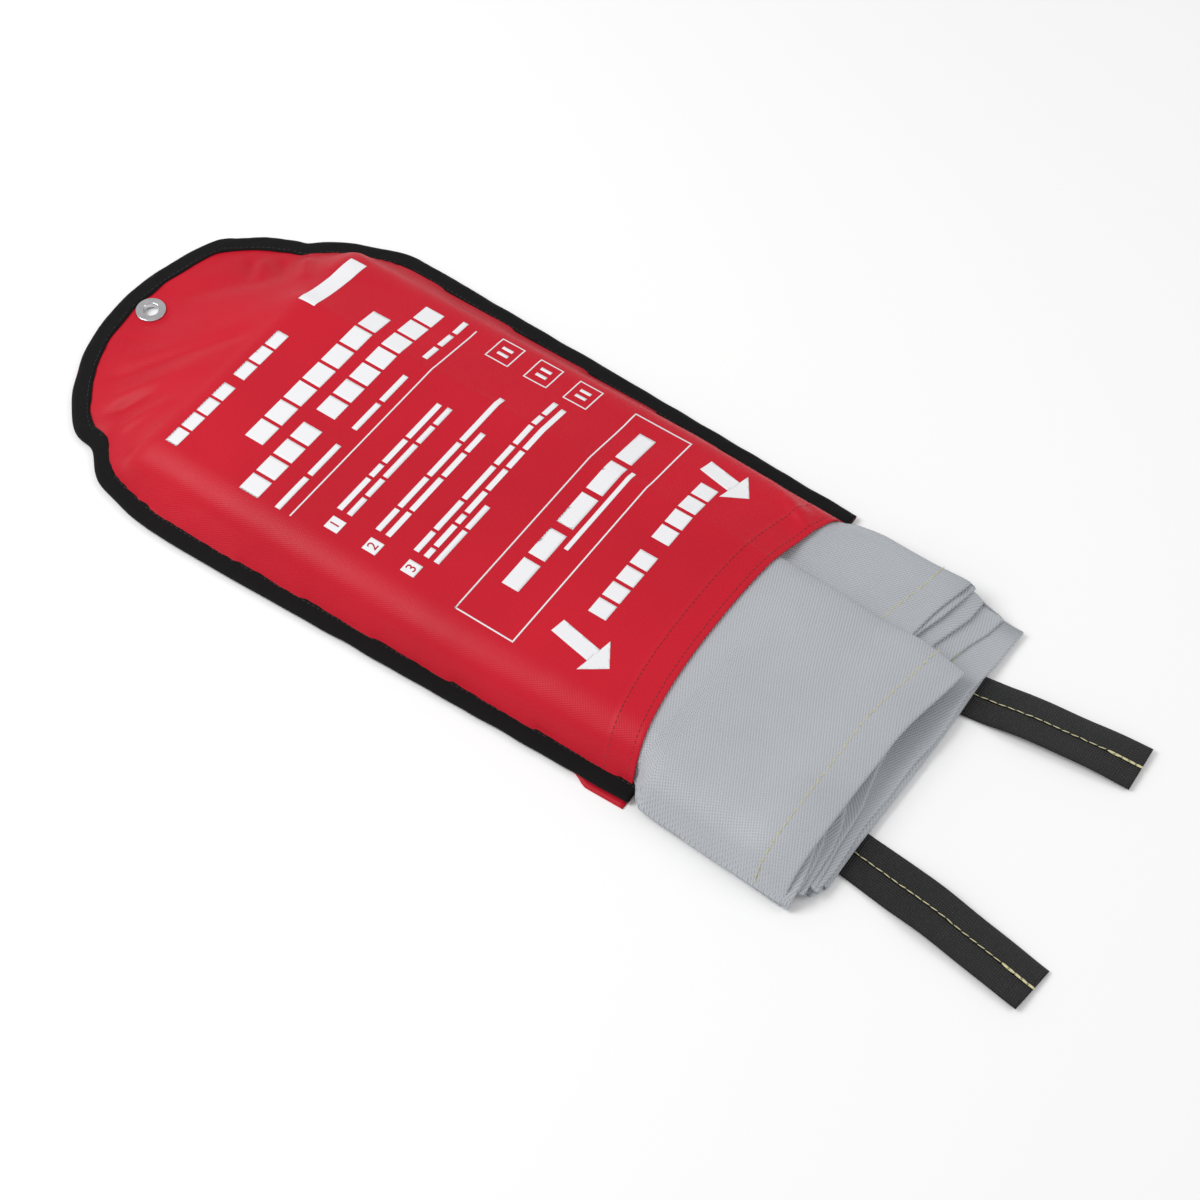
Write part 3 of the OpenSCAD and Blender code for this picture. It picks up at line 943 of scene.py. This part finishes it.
class FIREBLANKET_OT_studio(bpy.types.Operator):
    """Sets up the camera, the pale floor and the soft lights"""

    bl_idname = "fire_blanket.studio"
    bl_label = "Studio"

    def execute(self, context):
        scene, studio = context.scene, context.scene.fire_blanket_studio
        lens = bpy.data.cameras.new("camera")
        lens.lens, lens.sensor_width = studio.lens, 36.0
        lens.clip_end = 20
        camera = bpy.data.objects.new("camera", lens)
        rise, turn, away = math.radians(55.5), math.radians(35.18), 1.437  # two angles and the distance of the view
        aim_x, aim_y = 0.02545, -0.0164  # the place on the floor in the middle of the view
        camera.location = (
            aim_x + math.sin(turn) * math.cos(rise) * away,
            aim_y - math.cos(turn) * math.cos(rise) * away,
            math.sin(rise) * away,
        )
        camera.rotation_euler = (math.pi / 2 - rise, 0, turn)
        scene.collection.objects.link(camera)
        scene.camera = camera

        mesh = bpy.data.meshes.new("floor")
        mesh.from_pydata([(-6, -6, 0), (6, -6, 0), (6, 6, 0), (-6, 6, 0)], [], [(0, 1, 2, 3)])
        pale = Finish("pale_floor", (0.98, 0.98, 0.98), 0.9, Specular_IOR_Level=0.1)
        mesh.materials.append(pale.done())
        new_object("floor", mesh)

        world = bpy.data.worlds.new("studio")
        world.use_nodes = True
        light_all_round = world.node_tree.nodes["Background"].inputs
        light_all_round["Color"].default_value = (1, 1, 1, 1)
        light_all_round["Strength"].default_value = studio.fill
        scene.world = world
        for name, place, size, power in (
            ("main_light", (-1.15, -0.75, 1.65), 1.3, studio.key),
            ("side_light", (1.5, 0.9, 1.3), 1.1, studio.key * 0.27),
        ):
            lamp = bpy.data.lights.new(name, "AREA")
            lamp.shape, lamp.size, lamp.energy = "DISK", size, power
            light = bpy.data.objects.new(name, lamp)
            light.location = place
            light.rotation_euler = (-light.location).to_track_quat("-Z", "Y").to_euler()
            scene.collection.objects.link(light)
        scene.view_settings.view_transform = "Standard"
        return {"FINISHED"}


class FIREBLANKET_OT_eyelet(bpy.types.Operator):
    """Gives the pressed eyelet and its washer their plated metal"""

    bl_idname = "fire_blanket.eyelet"
    bl_label = "Eyelet"

    def execute(self, context):
        for node in ("eyelet", "eyelet_washer"):
            obj = frame["nodes"][node]
            obj.data.materials.clear()
            obj.data.materials.append(finish_of("plated_eyelet"))
        return {"FINISHED"}


class FIREBLANKET_OT_back_panel(bpy.types.Operator):
    """Makes the flat back panel of the bag and the two rows of stitches of its hem"""

    bl_idname = "fire_blanket.back_panel"
    bl_label = "Back panel"

    def execute(self, context):
        sizes = context.scene.fire_blanket_sizes
        xs = np.concatenate([head_stations(60), np.linspace(HEAD_CENTRE, MOUTH - 0.5, 110)[1:]])
        rows, flats = [], []
        slipped = 4.6 * eased((xs - 82) / 12)  # the near corner has slipped out under the tape
        near, far = half_width(xs, -1) - CUT_IN + slipped, half_width(xs, 1) - CUT_IN
        for v in np.linspace(0, 1, 90)[::-1]:
            y = -near + (near + far) * v
            z = back_height(xs, y)
            z = z + (0.45 - z) * eased((xs - 76) / 12) * eased((-y - half_width(xs, -1) + 16) / 8)
            rows.append(np.stack([xs, y, z], -1))
            flats.append(np.stack([xs, y], -1))
        points, flat = np.stack(rows, 1), np.stack(flats, 1)
        panel = cloth_grid("back_cloth", points, flat, "red_coated_cloth", sizes.panel / MM, clear_of_eyelet)
        fixed_to("bag", panel, "back_panel")
        ys, rows = np.linspace(-108, 108, 60), []
        for before in (3.5, HEM):
            x = np.full_like(ys, MOUTH - before)
            rows.append(np.stack([x, ys, back_height(x, ys) + 0.5], -1))
        hem = stitch_rows("back_hem_stitches", rows, 3.4, "dark_red_thread", 0.5, 0.7, 7)
        fixed_to("bag", hem, "back_hem_stitching")
        return {"FINISHED"}


def head_stations(count):
    """Places along the bag from the end of its head to its widest part, closer together at the end."""
    turn = np.linspace(math.radians(5), math.pi / 2, count)
    return HEAD_CENTRE - (HEAD_RADIUS - CUT_IN) * np.cos(turn)


class FIREBLANKET_OT_blanket(bpy.types.Operator):
    """Folds the whole square sheet into the pack and sews its hem"""

    bl_idname = "fire_blanket.blanket"
    bl_label = "Blanket"

    def execute(self, context):
        sizes = context.scene.fire_blanket_sizes
        points, flat = blanket_cloth()
        cloth = cloth_grid("blanket_cloth", points, flat, "grey_glass_cloth", sizes.cloth / MM)
        fixed_to("blanket", cloth, "blanket_sheet")
        rows = [hem_line(strip, 18.5, 0.42) for strip in range(7)]
        hem = stitch_rows("blanket_stitches", rows, sizes.stitch / MM, "yellow_thread", 0.58, 0.93, 0)
        fixed_to("blanket", hem, "blanket_hem_stitching")
        return {"FINISHED"}


class FIREBLANKET_OT_front_panel(bpy.types.Operator):
    """Draws the front panel tight over the pack, with its hem and two rows of stitches"""

    bl_idname = "fire_blanket.front_panel"
    bl_label = "Front panel"

    def execute(self, context):
        sizes = context.scene.fire_blanket_sizes
        before_hem = MOUTH - HEM - 4
        sides = np.linspace(HEAD_CENTRE, before_hem, 130)[1:-1]
        xs = np.concatenate([head_stations(76), sides, np.linspace(before_hem, MOUTH, 18)])
        share = np.linspace(-1, 1, 150)
        share = np.sign(share) * (1 - (1 - np.abs(share)) ** 1.25)  # closer rows by the seams
        near, far = half_width(xs, -1) - CUT_IN, half_width(xs, 1) - CUT_IN
        turned_flat = MOUTH + np.linspace(0.5, HEM + 1, 11)
        grid, flats = [], []
        for v in (share + 1) / 2:
            y = -near + (near + far) * v
            x = placed(xs, y)
            z = front_height(x, y)
            under = [  # round the mouth's edge and back under it
                (x[-1] + 0.45 * math.sin(turn), y[-1], z[-1] - 0.42 * (1 - math.cos(turn))) for turn in (0.7, 1.57, 2.4)
            ]
            for back in np.linspace(0, HEM, 8):
                under.append((x[-1] - back, y[-1], float(front_height(x[-1] - back, y[-1])) - 0.86))
            grid.append(np.concatenate([np.stack([x, y, z], -1), under]))
            hem_flat = np.stack([turned_flat, np.full(11, y[-1])], -1)
            flats.append(np.concatenate([np.stack([xs, y], -1), hem_flat]))
        points, flat = np.stack(grid, 1), np.stack(flats, 1)
        panel = cloth_grid("front_cloth", points, flat, "red_coated_cloth", sizes.panel / MM, clear_of_eyelet)
        fixed_to("bag", panel, "front_panel")
        ys, rows = np.linspace(-114, 114, 120), []
        for before in (3.5, HEM - 1.5):
            x = mouth_line(ys) - before
            rows.append(np.stack([x, ys, front_height(x, ys) + 0.5], -1))
        hem = stitch_rows("front_hem_stitches", rows, 3.4, "dark_red_thread", 0.55, 0.7, 3)
        fixed_to("bag", hem, "front_hem_stitching")
        return {"FINISHED"}


class FIREBLANKET_OT_binding(bpy.types.Operator):
    """Folds the black tape over the panels' edges and sews it down"""

    bl_idname = "fire_blanket.binding"
    bl_label = "Edge binding"

    def execute(self, context):
        sizes = context.scene.fire_blanket_sizes
        points, flat, long, wide = edge_tape_grid()
        tape = cloth_grid("edge_tape", points, flat, "black_binding_tape", sizes.tape / MM)
        fixed_to("bag", tape, "edge_binding")
        line = bag_outline(start=2.0)
        line = line + inward(line) * (TAPE - 2.2)
        rows = [np.column_stack([line, np.full(len(line), z)]) for z in (SEAM + 1.68, SEAM - 1.68)]
        sewn = stitch_rows("binding_stitches", rows, 3.6, "black_thread", 0.5, 0.72, 5)
        fixed_to("bag", sewn, "binding_stitching")
        return {"FINISHED"}


def box(x0, x1, y0, y1):
    return [(x0, y0), (x1, y0), (x1, y1), (x0, y1)]


def blocks(x0, x1, spans):
    return [box(x0, x1, a, b) for a, b in spans]


def word(start, end, count, gap):
    """Equal blocks from start to end, in place of a word's letters."""
    pitch = (end - start + gap) / count
    return [(start + i * pitch, start + (i + 1) * pitch - gap) for i in range(count)]


def outline_box(x0, x1, y0, y1, line):
    low, high = y0 + line, y1 - line
    return [box(x0, x1, y0, low), box(x0, x1, high, y1), box(x0, x0 + line, low, high), box(x1 - line, x1, low, high)]


def arrow(tail, tip, shaft, head, head_long):
    tail, tip = np.array(tail, float), np.array(tip, float)
    run = (tip - tail) / np.linalg.norm(tip - tail)
    side = np.array([-run[1], run[0]])
    neck = tip - run * head_long
    return [
        [tail - side * shaft / 2, neck - side * shaft / 2, neck + side * shaft / 2, tail + side * shaft / 2],
        [neck - side * head / 2, tip, neck + side * head / 2],
    ]


def print_shapes():
    """The bag's print, with plain blocks wherever words would be, and the middles of the step numbers' tiles."""
    shapes = [[(-257, 49), (-244, 49), (-243, 101), (-256, 101)]]  # label
    shapes += blocks(-250, -241, word(-88, -32, 4, 2.0) + word(-24, 20, 3, 2.0))
    shapes += blocks(-212.5, -198.5, word(-57, 70, 7, 2.4))  # title, two lines
    shapes += blocks(-189.5, -175, word(-90, -28, 4, 2.4) + word(-16, 95, 7, 2.4))
    for a, b, n in ((-89, -30, 2), (-15, 37, 2), (56, 99, 3)):
        shapes += blocks(-162.5, -158.5, word(a, b, n, 3))
    shapes += blocks(-151.2, -150.2, [(-89, 97)])
    tiles = ((-124.5, -78.5), (-96, -78), (-67.5, -77.5))
    shapes += [box(cx - 5, cx + 5, cy - 4.8, cy + 4.8) for cx, cy in tiles]
    lines = (  # of the steps: place, start, end and how long each block is, next to the others
        (-129.5, -68, 31, (8, 3, 6, 9)),
        (-122, -68, 32, (4, 4, 8, 4, 4)),
        (-101, -67, 58, (5, 7, 8, 11)),
        (-93.5, -67, 28, (5, 7, 5, 4)),
        (-73, -66, 76, (4, 6, 7, 4, 4, 2, 3)),
        (-65.5, -66, 74, (2, 5, 2, 5, 5, 4, 11)),
        (-58, -66, -15, (7, 5)),
    )
    space, half_high = 2.2, 1.9
    for x, at, end, words in lines:
        scale = (end - at - space * (len(words) - 1)) / sum(words)
        for long in words:
            shapes.append(box(x - half_high, x + half_high, at, at + long * scale))
            at += long * scale + space
    for cx in (-125, -95, -64.5):
        shapes += outline_box(cx - 9, cx + 9, 83, 103, 0.9)
        shapes += blocks(cx - 4, cx + 4, [(89, 91.5), (94.5, 97)])
    shapes += outline_box(-30, 12.5, -85.5, 101, 1.0)
    shapes += blocks(-18, -6, word(-55, -6, 2, 4) + word(0, 88, 3, 4))
    shapes += blocks(-2.5, 0.5, [(-14, 57)])
    shapes += blocks(35, 47.5, word(-42, 12, 4, 2.4) + word(23, 77, 4, 2.4))
    shapes += arrow((26.5, -60.5), (68.5, -68), 10.5, 27.5, 13)
    shapes += arrow((29, 91), (65, 84.5), 10.5, 26, 13)
    return shapes, tiles


class FIREBLANKET_OT_print(bpy.types.Operator):
    """Lays the white print on the front panel"""

    bl_idname = "fire_blanket.print"
    bl_label = "Print"

    def execute(self, context):
        shapes, tiles = print_shapes()
        panel = bpy.data.objects["front_cloth"]
        fixed_to("bag", printed("bag_print", shapes, panel, 0.08, 0.1, 2.0))
        for number, (cx, cy) in enumerate(tiles, 1):
            curve = bpy.data.curves.new(f"step_{number}", "FONT")
            curve.body, curve.size, curve.align_x, curve.align_y = str(number), 0.0095, "CENTER", "CENTER"
            curve.extrude = 0.00012
            text = bpy.data.objects.new(f"step_{number}", curve)
            context.scene.collection.objects.link(text)
            graph = context.evaluated_depsgraph_get()
            mesh = bpy.data.meshes.new_from_object(text.evaluated_get(graph))
            bpy.data.objects.remove(text)
            right, up, out = np.array([v.co for v in mesh.vertices]).T
            x, y = cx * MM - up, cy * MM + right
            z = dropped(panel, x / MM, y / MM, 0.2) * MM + out
            mesh.vertices.foreach_set("co", np.stack([x, y, z], -1).ravel())
            mesh.materials.clear()
            fixed_to("bag", new_object(f"step_number_{number}", mesh, "red_coated_cloth"))
        return {"FINISHED"}


class FIREBLANKET_OT_straps(bpy.types.Operator):
    """Folds and sews the two pull straps"""

    bl_idname = "fire_blanket.straps"
    bl_label = "Pull straps"

    def execute(self, context):
        anchors = []
        for side, near, tip in (("near", True, NEAR_TIP), ("far", False, FAR_TIP)):
            tape, wide, long = strap_tape(f"{side}_strap_tape", near)
            rows = [strap_row(near, HINGE_X - STRAP_UNDER + 2, tip - 19, 0.7, 1.05)]
            seam = stitch_rows(f"{side}_strap_stitches", rows, 5.4, "cream_thread", 0.62, 0.97, 11)
            rows = [strap_row(near, tip - 19, tip - 1.5, v, 1.1) for v in (0.25, 0.7, 1.15)]
            tack = stitch_rows(f"{side}_strap_back_tack", rows, 4.4, "cream_thread", 0.62, 1.05, 12)
            y = strap_line(HINGE_X, near) * MM
            for piece, *nodes in (
                (tape, f"{side}_strap_root", f"{side}_pull_strap"),
                (seam, f"{side}_strap_stitching"),
            ):
                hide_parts(*nodes)
                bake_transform(piece)
            fixed_to(f"{side}_strap", tack, f"{side}_strap_bartack")
            for at in (HINGE_X - 52, HINGE_X - 14):
                v = np.linspace(-12, 12, 12)
                x = np.full_like(v, at)
                y, z = strap_shape(near, x, v)
                anchors.append(np.stack([x, y, z - 0.95], -1))
        sewn = stitch_rows("anchor_stitches", anchors, 4.0, "yellow_thread", 0.5, 0.75, 17)
        fixed_to("blanket", sewn, "strap_anchor_stitching")
        return {"FINISHED"}


class FIREBLANKET_PT_panel(bpy.types.Panel):
    """Lists the pieces of the fire blanket and its settings"""

    bl_idname = "FIREBLANKET_PT_panel"
    bl_label = "Fire blanket"
    bl_space_type = "VIEW_3D"
    bl_region_type = "UI"
    bl_category = "Fire blanket"

    def draw(self, context):
        for group in ("fire_blanket_colors", "fire_blanket_sizes", "fire_blanket_studio"):
            settings = getattr(context.scene, group)
            for name in settings.__annotations__:
                self.layout.prop(settings, name)
        for operator in OPERATORS:
            self.layout.operator(operator.bl_idname)


OPERATORS = (
    FIREBLANKET_OT_studio,
    FIREBLANKET_OT_eyelet,
    FIREBLANKET_OT_back_panel,
    FIREBLANKET_OT_blanket,
    FIREBLANKET_OT_front_panel,
    FIREBLANKET_OT_binding,
    FIREBLANKET_OT_print,
    FIREBLANKET_OT_straps,
)
GROUPS = {
    "fire_blanket_colors": FireBlanketColors,
    "fire_blanket_sizes": FireBlanketSizes,
    "fire_blanket_studio": FireBlanketStudio,
}


def register():
    for group in GROUPS.values():
        bpy.utils.register_class(group)
    for name, group in GROUPS.items():
        setattr(bpy.types.Scene, name, bpy.props.PointerProperty(type=group))
    for cls in (*OPERATORS, FIREBLANKET_PT_panel):
        bpy.utils.register_class(cls)


def unregister():
    for cls in (FIREBLANKET_PT_panel, *reversed(OPERATORS)):
        bpy.utils.unregister_class(cls)
    for name, group in GROUPS.items():
        delattr(bpy.types.Scene, name)
        bpy.utils.unregister_class(group)


def main():
    register()
    for operator in OPERATORS:
        group, name = operator.bl_idname.split(".")
        getattr(getattr(bpy.ops, group), name)()


if __name__ == "__main__":
    main()
